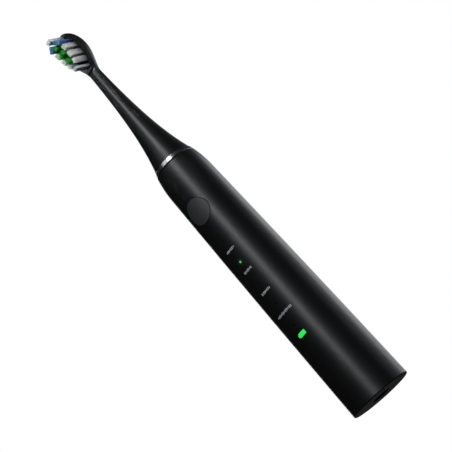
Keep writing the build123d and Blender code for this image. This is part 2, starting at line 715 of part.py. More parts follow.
def stator_core():
    low = MOTOR_LOW_Z + MAGNET_LOW
    inner = MAGNET_R + AIR_GAP
    core = tube_z(STATOR_R, inner, low - STATOR_RING, low)
    for facing in (0, 180):
        core += wedge_z(STATOR_R, inner, low - STATOR_RING, low + MAGNET_LENGTH, POLE_ARC, facing)
    return core


def stator_coil():
    low = MOTOR_LOW_Z + MAGNET_LOW + AIR_GAP
    high = MOTOR_LOW_Z + MAGNET_LOW + MAGNET_LENGTH
    return [wedge_z(STATOR_R, MAGNET_R + AIR_GAP, low, high, WINDING_ARC, facing) for facing in (90, 270)]


def rotor_yoke():
    low = MOTOR_LOW_Z + MAGNET_LOW
    return tube_z(YOKE_R, SHAFT_R, low, low + MAGNET_LENGTH)


def rotor_magnets():
    low = MOTOR_LOW_Z + MAGNET_LOW
    step = 360 / MAGNET_COUNT
    return [
        wedge_z(MAGNET_R, YOKE_R, low, low + MAGNET_LENGTH, MAGNET_ARC, step * i)
        for i in range(MAGNET_COUNT)
    ]


def motor_pad(low):
    """Rubber pad that keeps the motor's shaking out of the frame."""
    return tube_z(MOTOR_R, FRAME_SHAFT_HOLE_R, low, low + PAD_THICKNESS)


def drive_shaft():
    shaft = rod_z(SHAFT_R, SHAFT_LOW_Z, SHAFT_TOP_Z)
    shaft = chamfer(shaft.edges().group_by(Axis.Z)[-1], SHAFT_TIP_CHAMFER)
    flat_low = SHAFT_TOP_Z - SHAFT_FLAT_LENGTH
    shaft -= block((SHAFT_FLAT, FAR), (-FAR, FAR), (flat_low, SHAFT_TOP_Z + 1))
    slot_top = SHAFT_LOW_Z + SPRING_SLOT_DEPTH
    half = SPRING_THICKNESS / 2 + SPRING_SLOT_GAP
    return shaft - block((-FAR, FAR), (-half, half), (SHAFT_LOW_Z - 1, slot_top))


def shaft_seal():
    seal = rod_z(SEAL_FLANGE_R, CEILING_Z - SEAL_FLANGE, CEILING_Z)
    seal += rod_z(SEAL_SLEEVE_R, CEILING_Z, HANDLE_LENGTH + SEAL_SLEEVE_RISE)
    rim = seal.edges().filter_by(GeomType.CIRCLE).group_by(Axis.Z)[-1]
    return fillet(rim, SEAL_EDGE_R) - rod_z(SHAFT_R + SEAL_FIT, CEILING_Z - 5, HANDLE_LENGTH + 5)


# ---- Brush head shell ----
def smooth(share):
    """Eased step from 0 to 1."""
    held = min(max(share, 0.0), 1.0)
    return held * held * (3 - 2 * held)


def plate_mid_y(z):
    """Y of the middle of the plate's section at a height."""
    return PLATE_MID_Y - (z - WIDEST_Z) * math.tan(math.radians(PLATE_LEAN))


def section(z, half_width, half_depth, y, exponent):
    """Closed rounded outline at a height: an ellipse at exponent 2, squarer above."""
    points = []
    for i in range(SECTION_POINTS):
        angle = 2 * math.pi * i / SECTION_POINTS + math.pi / 2
        c = math.cos(angle)
        s = math.sin(angle)
        px = math.copysign(abs(c) ** (2 / exponent), c) * half_width
        py = math.copysign(abs(s) ** (2 / exponent), s) * half_depth
        points.append((px, y + py, z))
    return make_face(Spline(*points, periodic=True))


def neck_radius(z):
    """Radius of the thinning neck at a height."""
    floor = math.exp(-NECK_DECAY)
    share = (z - SKIRT_Z) / NECK_LENGTH
    thinning = (math.exp(-NECK_DECAY * share) - floor) / (1 - floor)
    return NECK_R + (SKIRT_R - NECK_R) * thinning


def neck():
    """Round neck turned about the axis, from the skirt up to where the plate starts to flare."""
    span = (FLARE_Z - SKIRT_Z) / NECK_SPANS
    heights = [SKIRT_Z + span * i for i in range(NECK_SPANS + 1)]
    flank = Spline(*[(neck_radius(z), z) for z in heights])
    rest = Polyline((neck_radius(FLARE_Z), FLARE_Z), (0, FLARE_Z), (0, SKIRT_Z), (SKIRT_R, SKIRT_Z))
    return revolve(Plane.XZ * make_face(Curve() + [flank, rest]), Axis.Z)


def flare_sections():
    """Sections that flare from the round neck to the widest part of the plate."""
    start = Plane(origin=(0, 0, FLARE_Z), x_dir=(0, 1, 0), z_dir=(0, 0, 1))
    faces = [start * Circle(neck_radius(FLARE_Z))]
    for i in range(1, FLARE_SECTIONS + 1):
        share = i / FLARE_SECTIONS
        z = FLARE_Z + (WIDEST_Z - FLARE_Z) * share
        eased = smooth(share**FLARE_FULLNESS)
        slim = neck_radius(z)
        half_width = slim + (PLATE_HALF_WIDTH - slim) * eased
        half_depth = slim + (PLATE_HALF_DEPTH - slim) * eased
        y = plate_mid_y(z) * eased
        faces.append(section(z, half_width, half_depth, y, 2 + (PLATE_SQUARENESS - 2) * eased))
    return faces


def tip_sections():
    """Sections that close the plate beyond its widest part."""
    faces = []
    for angle in TIP_ANGLES:
        z = WIDEST_Z + TIP_LENGTH * math.sin(math.radians(angle))
        closing = math.cos(math.radians(angle))
        half_width = PLATE_HALF_WIDTH * closing**TIP_POINT
        half_depth = PLATE_HALF_DEPTH * closing**TIP_THINNING
        faces.append(section(z, half_width, half_depth, plate_mid_y(z), PLATE_SQUARENESS))
    return faces


def plate_plane():
    """Plane of the flat face: X across, Y along towards the tip, Z outwards."""
    tilt = math.radians(PLATE_TILT)
    outwards = (0, -math.cos(tilt), -math.sin(tilt))
    return Plane(origin=(0, PLATE_FRONT_Y, WIDEST_Z), x_dir=(1, 0, 0), z_dir=outwards)


def face_cutter():
    """Space in front of the flat face, with a ramp up to the neck at the heel."""
    clear = 10.0
    outline = Polyline(
        (HEEL_A - HEEL_RAMP - clear / 2, clear),
        (HEEL_A - HEEL_RAMP, HEEL_RAMP),
        (HEEL_A, 0),
        (FAR, 0),
        (FAR, clear),
        close=True,
    )
    side = Plane(origin=(0, 0, 0), x_dir=(0, 1, 0), z_dir=(1, 0, 0))
    wide = extrude(side * make_face(outline), FAR, both=True)
    return plate_plane() * wide


def insert_room():
    """Hollow of the head: a wide mouth that narrows to the insert."""
    bore = INSERT_R + INSERT_FIT
    mouth_top = SKIRT_Z + HEAD_BORE_HEIGHT
    cone_top = mouth_top + (HEAD_BORE_R - bore) * HEAD_CONE_SLOPE
    top = INSERT_TOP_Z + INSERT_FIT
    profile = Polyline(
        (0, RING_LOW_Z - 1),
        (HEAD_BORE_R, RING_LOW_Z - 1),
        (HEAD_BORE_R, mouth_top),
        (bore, cone_top),
        (bore, top),
        (0, top),
        close=True,
    )
    return revolve(Plane.XZ * make_face(profile), Axis.Z)


def head_shell():
    head = neck() + loft(Sketch() + flare_sections() + tip_sections())
    head = fillet(head.edges().group_by(Axis.Z)[0], SKIRT_EDGE_R)
    head -= face_cutter()
    head += rod_z(RING_BORE_R - RING_SEAT_GAP, RING_LOW_Z + RING_SEAT_GAP, SKIRT_Z + 1)
    head -= insert_room()
    for tuft in all_tufts():
        head -= tuft_solid(tuft, TUFT_FIT, -TUFT_HOLE_DEPTH, 1)
    return head


def head_ring():
    outline = Polyline(
        (RING_BORE_R, RING_LOW_Z),
        (RING_LOW_R, RING_LOW_Z),
        (RING_TOP_R, RING_TOP_Z),
        (RING_BORE_R, RING_TOP_Z),
        close=True,
    )
    ring = revolve(Plane.XZ * make_face(outline), Axis.Z)
    outer = ring.edges().filter_by(GeomType.CIRCLE).filter_by(lambda e: e.radius > RING_BORE_R + RING_EDGE_R)
    return fillet(outer, RING_EDGE_R)


def insert_bore():
    """The shaft's shape with its flat, grown by the fit."""
    radius = SHAFT_R + INSERT_SHAFT_FIT
    top = SHAFT_TOP_Z + INSERT_SHAFT_END_GAP
    bore = rod_z(radius, INSERT_LOW_Z - 1, top)
    flat_low = SHAFT_TOP_Z - SHAFT_FLAT_LENGTH + INSERT_SHAFT_END_GAP
    flat = block((SHAFT_FLAT + INSERT_SHAFT_FIT, FAR), (-FAR, FAR), (flat_low, top + 1))
    return bore - flat


def clip_strip(grow):
    """Springy strip behind the shaft that grips it."""
    inner = -(SHAFT_R + INSERT_SHAFT_FIT + CLIP_GAP)
    x_span = (inner - CLIP_THICKNESS - grow, inner + grow)
    half = CLIP_WIDTH / 2 + grow
    low = INSERT_LOW_Z + CLIP_RISE
    return block(x_span, (-half, half), (low - grow, low + CLIP_LENGTH + grow))


def head_insert():
    insert = rod_z(INSERT_R, INSERT_LOW_Z, INSERT_TOP_Z)
    insert += rod_z(INSERT_FLANGE_R, INSERT_LOW_Z, INSERT_LOW_Z + INSERT_FLANGE)
    return insert - insert_bore() - clip_strip(CLIP_GAP)


# ---- Bristle tufts ----
def mirrored(rows):
    """Each tuft of a list and its twin on the other side."""
    return [(side * x, a, w, l, side * turn, rise) for x, a, w, l, turn, rise in rows for side in (1, -1)]


def white_tufts():
    return mirrored(SIDE_TUFTS) + [TOE_TUFT, HEEL_TUFT]


def green_tufts():
    return list(CENTRE_TUFTS) + mirrored(CENTRE_PAIR)


def blue_tufts():
    return mirrored(SHOULDER_TUFTS)


def all_tufts():
    return white_tufts() + green_tufts() + blue_tufts()


def tuft_solid(tuft, grow, low, high):
    """Rounded prism of one tuft between two heights over the plate's face."""
    x, along, width, length, turn = tuft[:5]
    outline = RectangleRounded(width + 2 * grow, length + 2 * grow, TUFT_CORNER_R + grow)
    prism = extrude(outline, high - low)
    return plate_plane() * Pos(x, along, low) * Rot(0, 0, turn) * prism


def tuft_group(tufts):
    low = ANCHOR_LENGTH - TUFT_HOLE_DEPTH
    return [tuft_solid(tuft, 0, low, tuft[-1]) for tuft in tufts]


def tuft_anchors():
    """Metal strips driven into the foot of each hole to hold its tuft."""
    anchors = []
    for x, along, width, _, turn, _ in all_tufts():
        strip = Box(width, ANCHOR_THICKNESS, ANCHOR_LENGTH, align=(Align.CENTER, Align.CENTER, Align.MIN))
        anchors.append(plate_plane() * Pos(x, along, -TUFT_HOLE_DEPTH) * Rot(0, 0, turn) * strip)
    return anchors


# ---- All the pieces ----
def all_parts():
    """Every piece by its node name."""
    outside = skin(0)
    return {
        "handle_shell": handle_shell(),
        "base_cap": base_cap(),
        "base_seal": base_seal(),
        "coil_bobbin": coil_bobbin(),
        "charge_coil": charge_coil(),
        "coil_shield": coil_shield(),
        "coil_leads": coil_leads(),
        "inner_frame": inner_frame(),
        "battery_cell": battery_cell(),
        "battery_tab_top": battery_tab(BATTERY_TOP_Z),
        "battery_tab_bottom": battery_tab(LOW_PLATE_TOP_Z),
        "circuit_board": circuit_board(),
        "board_screws": board_screws(),
        "board_chips": board_chips(),
        "indicator_leds": indicator_leds(),
        "light_baffle": light_baffle(),
        "light_pipes": light_pipes(),
        "battery_window": battery_window(outside),
        "switch_case": switch_case(),
        "switch_pin": switch_pin(),
        "power_button": power_button(outside),
        "button_seal": button_seal(),
        "motor_case": motor_case(),
        "motor_lower_cap": motor_lower_cap(),
        "motor_upper_cap": motor_upper_cap(),
        "motor_pad_lower": motor_pad(MID_PLATE_TOP_Z),
        "motor_pad_upper": motor_pad(MOTOR_TOP_Z),
        "motor_leads": motor_leads(),
        "lower_bush": bush(lower_bush_z()),
        "upper_bush": bush(MOTOR_TOP_Z - MOTOR_END - UPPER_PLUG),
        "return_spring": spring_leaf(0),
        "stator_core": stator_core(),
        "stator_coil": stator_coil(),
        "shaft_seal": shaft_seal(),
        "drive_shaft": drive_shaft(),
        "rotor_yoke": rotor_yoke(),
        "rotor_magnets": rotor_magnets(),
        "head_shell": head_shell(),
        "head_ring": head_ring(),
        "head_insert": head_insert(),
        "shaft_clip": clip_strip(0),
        "white_tufts": tuft_group(white_tufts()),
        "green_tufts": tuft_group(green_tufts()),
        "blue_tufts": tuft_group(blue_tufts()),
        "tuft_anchors": tuft_anchors(),
    }


os.makedirs("parts", exist_ok=True)
for name, shape in all_parts().items():
    piece = Compound(children=list(shape)) if isinstance(shape, list) else shape
    export_step(piece, f"parts/{name}.step")
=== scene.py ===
import logging
import math
import random
from dataclasses import dataclass
from enum import Enum

import bmesh
import bpy
from mathutils import Matrix, Vector
from mathutils.bvhtree import BVHTree


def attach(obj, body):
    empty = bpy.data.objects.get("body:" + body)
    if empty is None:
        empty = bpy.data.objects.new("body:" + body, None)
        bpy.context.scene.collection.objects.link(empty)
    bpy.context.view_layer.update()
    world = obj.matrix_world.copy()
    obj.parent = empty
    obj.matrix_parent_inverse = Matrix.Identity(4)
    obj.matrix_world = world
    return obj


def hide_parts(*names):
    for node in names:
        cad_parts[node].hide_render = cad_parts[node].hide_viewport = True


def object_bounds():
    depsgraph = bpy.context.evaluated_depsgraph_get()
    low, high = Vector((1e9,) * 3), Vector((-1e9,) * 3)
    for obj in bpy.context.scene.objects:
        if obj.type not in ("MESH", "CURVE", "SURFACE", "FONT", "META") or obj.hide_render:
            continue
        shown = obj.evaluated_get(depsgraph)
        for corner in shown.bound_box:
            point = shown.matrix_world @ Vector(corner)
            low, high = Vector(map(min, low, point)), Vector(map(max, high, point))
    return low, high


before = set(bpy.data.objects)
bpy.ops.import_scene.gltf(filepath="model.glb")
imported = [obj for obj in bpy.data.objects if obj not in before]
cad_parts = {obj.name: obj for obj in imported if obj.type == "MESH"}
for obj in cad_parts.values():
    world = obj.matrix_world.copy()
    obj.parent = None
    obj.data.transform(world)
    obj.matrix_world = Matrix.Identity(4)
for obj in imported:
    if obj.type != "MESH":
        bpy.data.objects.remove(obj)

CAD_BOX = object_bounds()
MM = 0.001
WELD = 1e-6
NO_LENGTH = 1e-7

Colour = tuple[float, float, float]
Point2 = tuple[float, float]

UNSTRETCHED = (1.0, 1.0, 1.0)
PATTERN_DARK = 0.3
PATTERN_LIGHT = 0.7
DRIFT_OCTAVES = 3.0
GLOSS_OCTAVES = 4.0
FINE_OCTAVES = 2.0
GLOSS_FINENESS = 4
WHITE = (1.0, 1.0, 1.0, 1.0)

log = logging.getLogger("toothbrush")


class Body(Enum):
    """The moving bodies that pieces ride on."""

    HANDLE = "handle"
    BRUSH_HEAD = "brush_head"


class Grain(Enum):
    """How a finish's fine relief runs over the surface."""

    EVEN = UNSTRETCHED
    ROUND = (0.05, 0.05, 1.0)


# ---- Finishes ----
class Graph:
    """A material's node tree, with short ways to add and join nodes."""

    def __init__(self, name: str) -> None:
        """Starts an empty tree.

        Args:
            name: The material's name.
        """
        self.material = bpy.data.materials.new(name)
        self.material.use_nodes = True
        self.tree = self.material.node_tree
        self.tree.nodes.clear()
        self.shader = self.add("ShaderNodeBsdfPrincipled")
        output = self.add("ShaderNodeOutputMaterial")
        self.join(self.shader.outputs["BSDF"], output.inputs["Surface"])

    def add(self, kind: str, **settings: object) -> bpy.types.Node:
        """Adds a node.

        Args:
            kind: The node's type name.
            settings: Properties of the node to set.

        Returns:
            The new node.
        """
        node = self.tree.nodes.new(kind)
        for key, value in settings.items():
            setattr(node, key, value)
        return node

    def join(self, start: bpy.types.NodeSocket, end: bpy.types.NodeSocket) -> None:
        """Links an output to an input."""
        self.tree.links.new(start, end)

    def place(self, stretch: Colour = UNSTRETCHED) -> bpy.types.NodeSocket:
        """Gives the object's own coordinates, stretched along each axis.

        Args:
            stretch: Factor on each axis.

        Returns:
            The coordinate socket.
        """
        source = self.add("ShaderNodeTexCoord").outputs["Object"]
        if stretch == UNSTRETCHED:
            return source
        mapping = self.add("ShaderNodeMapping")
        mapping.inputs["Scale"].default_value = stretch
        self.join(source, mapping.inputs["Vector"])
        return mapping.outputs["Vector"]

    def noise(self, scale: float, detail: float, stretch: Colour = UNSTRETCHED) -> bpy.types.NodeSocket:
        """Adds a noise pattern.

        Args:
            scale: Repeats per metre.
            detail: Octaves.
            stretch: Factor on each axis.

        Returns:
            The pattern's value socket.
        """
        node = self.add("ShaderNodeTexNoise")
        node.inputs["Scale"].default_value = scale
        node.inputs["Detail"].default_value = detail
        self.join(self.place(stretch), node.inputs["Vector"])
        return node.outputs["Fac"]

    def spread(self, value: bpy.types.NodeSocket, low: float, high: float) -> bpy.types.NodeSocket:
        """Spreads a 0 to 1 pattern over a range.

        Args:
            value: The pattern.
            low: Result at the pattern's dark end.
            high: Result at its light end.

        Returns:
            The ranged value socket.
        """
        node = self.add("ShaderNodeMapRange")
        node.inputs["From Min"].default_value = PATTERN_DARK
        node.inputs["From Max"].default_value = PATTERN_LIGHT
        node.inputs["To Min"].default_value = low
        node.inputs["To Max"].default_value = high
        self.join(value, node.inputs["Value"])
        return node.outputs["Result"]

    def blend(self, value: bpy.types.NodeSocket, low: Colour, high: Colour) -> bpy.types.NodeSocket:
        """Runs a colour from low to high along a pattern.

        Args:
            value: The pattern.
            low: Colour at its dark end.
            high: Colour at its light end.

        Returns:
            The colour socket.
        """
        ramp = self.add("ShaderNodeValToRGB")
        ramp.color_ramp.elements[0].position = PATTERN_DARK
        ramp.color_ramp.elements[0].color = (*low, 1.0)
        ramp.color_ramp.elements[1].position = PATTERN_LIGHT
        ramp.color_ramp.elements[1].color = (*high, 1.0)
        self.join(value, ramp.inputs["Fac"])
        return ramp.outputs["Color"]

    def math(self, operation: str, first: object, second: object = 0.0) -> bpy.types.NodeSocket:
        """Adds a sum on one or two values.

        Args:
            operation: The sum's name.
            first: Socket or number.
            second: Socket or number.

        Returns:
            The result socket.
        """
        node = self.add("ShaderNodeMath", operation=operation)
        for slot, value in zip(node.inputs, (first, second)):
            if isinstance(value, (int, float)):
                slot.default_value = value
            else:
                self.join(value, slot)
        return node.outputs["Value"]

    def relief(self, value: bpy.types.NodeSocket, depth: float, strength: float = 1.0) -> None:
        """Raises a pattern as fine relief on the shader.

        Args:
            value: The pattern.
            depth: Height of the relief in metres.
            strength: How much of it shows.
        """
        bump = self.add("ShaderNodeBump")
        bump.inputs["Strength"].default_value = strength
        bump.inputs["Distance"].default_value = depth
        self.join(value, bump.inputs["Height"])
        self.join(bump.outputs["Normal"], self.shader.inputs["Normal"])


@dataclass(frozen=True)
class Finish:
    """A moulded or machined finish: two near colours, uneven gloss and fine relief."""

    name: str
    colour: Colour
    drift_colour: Colour
    roughness: tuple[float, float]
    drift_scale: float = 260.0
    metallic: float = 0.0
    grain_scale: float = 5200.0
    grain_depth: float = 0.00002
    grain_strength: float = 0.35
    grain: Grain = Grain.EVEN
    ior: float = 1.47
    specular: float = 0.5
    coat: float = 0.0
    transmission: float = 0.0

    def build(self) -> bpy.types.Material:
        """Makes the material.

        Returns:
            The finished material.
        """
        graph = Graph(self.name)
        shader = graph.shader
        shader.inputs["Metallic"].default_value = self.metallic
        shader.inputs["IOR"].default_value = self.ior
        shader.inputs["Specular IOR Level"].default_value = self.specular
        shader.inputs["Coat Weight"].default_value = self.coat
        shader.inputs["Transmission Weight"].default_value = self.transmission
        self.paint(graph)
        self.texture(graph)
        return graph.material

    def paint(self, graph: Graph) -> None:
        """Sets the colour and the gloss.

        Args:
            graph: The tree to add to.
        """
        drift = graph.noise(self.drift_scale, DRIFT_OCTAVES)
        graph.join(graph.blend(drift, self.colour, self.drift_colour), graph.shader.inputs["Base Color"])
        gloss = graph.noise(self.drift_scale * GLOSS_FINENESS, GLOSS_OCTAVES, self.grain.value)
        graph.join(graph.spread(gloss, *self.roughness), graph.shader.inputs["Roughness"])

    def texture(self, graph: Graph) -> None:
        """Adds the fine relief.

        Args:
            graph: The tree to add to.
        """
        grain = graph.noise(self.grain_scale, FINE_OCTAVES, self.grain.value)
        graph.relief(grain, self.grain_depth, self.grain_strength)


@dataclass(frozen=True)
class HaloPlastic(Finish):
    """The handle's soft-touch plastic, with a painted green glow of the lit mode light lying on it."""

    light_height: float = 0.08
    halo_radius: float = 0.0011
    halo_colour: Colour = (0.05, 0.9, 0.12)
    halo_strength: float = 0.03

    def paint(self, graph: Graph) -> None:
        """Sets colour and gloss, then paints the glow round the lit light as emission on the shell.

        Args:
            graph: The tree to add to.
        """
        super().paint(graph)
        # Painted light: a green glow on the shell that fades with distance from the lit mode light, front
        # face only.
        axes = graph.add("ShaderNodeSeparateXYZ")
        graph.join(graph.place(), axes.inputs["Vector"])
        rise = graph.math("SUBTRACT", axes.outputs["Z"], self.light_height)
        across = graph.math("POWER", axes.outputs["X"], 2.0)
        reach = graph.math("ADD", across, graph.math("POWER", rise, 2.0))
        fall = graph.math("EXPONENT", graph.math("MULTIPLY", reach, -1.0 / self.halo_radius**2))
        facing = graph.math("LESS_THAN", axes.outputs["Y"], 0.0)
        glow = graph.math("MULTIPLY", graph.math("MULTIPLY", fall, facing), self.halo_strength)
        graph.shader.inputs["Emission Color"].default_value = (*self.halo_colour, 1.0)
        graph.join(glow, graph.shader.inputs["Emission Strength"])


@dataclass(frozen=True)
class LitResin(Finish):
    """Clear or tinted resin that glows between two heights."""

    glow_low: float = 0.0
    glow_high: float = 1.0
    glow_colour: Colour = (0.2, 1.0, 0.2)
    glow_strength: float = 4.0
    glow_scale: float = 900.0
    glow_range: tuple[float, float] = (0.85, 1.15)

    def paint(self, graph: Graph) -> None:
        """Sets colour and gloss, then lights the stretch between the two heights.

        Args:
            graph: The tree to add to.
        """
        super().paint(graph)
        axes = graph.add("ShaderNodeSeparateXYZ")
        graph.join(graph.place(), axes.inputs["Vector"])
        above = graph.math("GREATER_THAN", axes.outputs["Z"], self.glow_low)
        below = graph.math("LESS_THAN", axes.outputs["Z"], self.glow_high)
        unevenness = graph.spread(graph.noise(self.glow_scale, FINE_OCTAVES), *self.glow_range)
        lit = graph.math("MULTIPLY", graph.math("MULTIPLY", above, below), unevenness)
        graph.shader.inputs["Emission Color"].default_value = (*self.glow_colour, 1.0)
        graph.join(graph.math("MULTIPLY", lit, self.glow_strength), graph.shader.inputs["Emission Strength"])


@dataclass(frozen=True)
class Winding(Finish):
    """Enamelled wire laid turn on turn."""

    wave_scale: float = 781.25
    wobble: float = 0.6
    wire_depth: float = 0.0001
    wire_strength: float = 0.8

    def texture(self, graph: Graph) -> None:
        """Raises the turns of wire.

        Args:
            graph: The tree to add to.
        """
        wave = graph.add("ShaderNodeTexWave", bands_direction="Z", wave_profile="SIN")
        wave.inputs["Scale"].default_value = self.wave_scale
        wave.inputs["Distortion"].default_value = self.wobble
        graph.join(graph.place(), wave.inputs["Vector"])
        graph.relief(wave.outputs["Fac"], self.wire_depth, self.wire_strength)


@dataclass(frozen=True)
class Laminate(Finish):
    """Circuit-board laminate with copper tracks under the mask."""

    track_colour: Colour = (0.02, 0.16, 0.06)
    track_scale: float = 260.0
    track_width: float = 0.06
    gloss_scale: float = 700.0

    def paint(self, graph: Graph) -> None:
        """Draws the tracks under the mask.

        Args:
            graph: The tree to add to.
        """
        brick = graph.add("ShaderNodeTexBrick")
        brick.inputs["Scale"].default_value = self.track_scale
        brick.inputs["Mortar Size"].default_value = self.track_width
        brick.inputs["Color1"].default_value = (*self.colour, 1.0)
        brick.inputs["Color2"].default_value = (*self.drift_colour, 1.0)
        brick.inputs["Mortar"].default_value = (*self.track_colour, 1.0)
        turn = graph.add("ShaderNodeMapping")
        turn.inputs["Rotation"].default_value = (math.radians(90), 0.0, 0.0)
        graph.join(graph.place(), turn.inputs["Vector"])
        graph.join(turn.outputs["Vector"], brick.inputs["Vector"])
        graph.join(brick.outputs["Color"], graph.shader.inputs["Base Color"])
        gloss = graph.noise(self.gloss_scale, FINE_OCTAVES)
        graph.join(graph.spread(gloss, *self.roughness), graph.shader.inputs["Roughness"])


@dataclass(frozen=True)
class Filament(Finish):
    """Nylon filament, with painted shade at its root and painted light at its tip, each one a little
    different.
    """

    # The root colour is painted shade and the tip colour is painted light.
    shaded_root_colour: Colour = (0.2, 0.2, 0.2)
    lit_tip_colour: Colour = (0.9, 0.9, 0.9)
    body_place: float = 0.35
    late_place: float = 0.86
    subsurface: float = 0.15
    subsurface_depth: float = 0.0006
    gloss_scale: float = 1500.0

    def paint(self, graph: Graph) -> None:
        """Runs painted shade at the root to painted light at the tip along the filament, and varies the tone
        from one filament to the next.

        Args:
            graph: The tree to add to.
        """
        # The ramp paints shade at the root end and light at the tip end of each filament.
        reach = graph.add("ShaderNodeAttribute", attribute_name="reach")
        ramp = graph.add("ShaderNodeValToRGB")
        first, last = ramp.color_ramp.elements
        first.position, first.color = 0.0, (*self.shaded_root_colour, 1.0)
        last.position, last.color = 1.0, (*self.lit_tip_colour, 1.0)
        middle = ramp.color_ramp.elements.new(self.body_place)
        middle.color = (*self.colour, 1.0)
        late = ramp.color_ramp.elements.new(self.late_place)
        late.color = (*self.drift_colour, 1.0)
        graph.join(reach.outputs["Fac"], ramp.inputs["Fac"])
        shade = graph.add("ShaderNodeAttribute", attribute_name="shade")
        tint = graph.add("ShaderNodeMix", data_type="RGBA", blend_type="MULTIPLY")
        tint.inputs["Factor"].default_value = 1.0
        graph.join(ramp.outputs["Color"], tint.inputs["A"])
        graph.join(shade.outputs["Color"], tint.inputs["B"])
        graph.join(tint.outputs["Result"], graph.shader.inputs["Base Color"])
        graph.shader.inputs["Subsurface Weight"].default_value = self.subsurface
        graph.shader.inputs["Subsurface Scale"].default_value = self.subsurface_depth
        gloss = graph.noise(self.gloss_scale, FINE_OCTAVES)
        graph.join(graph.spread(gloss, *self.roughness), graph.shader.inputs["Roughness"])


BLACK = (0.0042, 0.0042, 0.0046)
SOFT_BLACK = (0.0054, 0.0054, 0.0058)

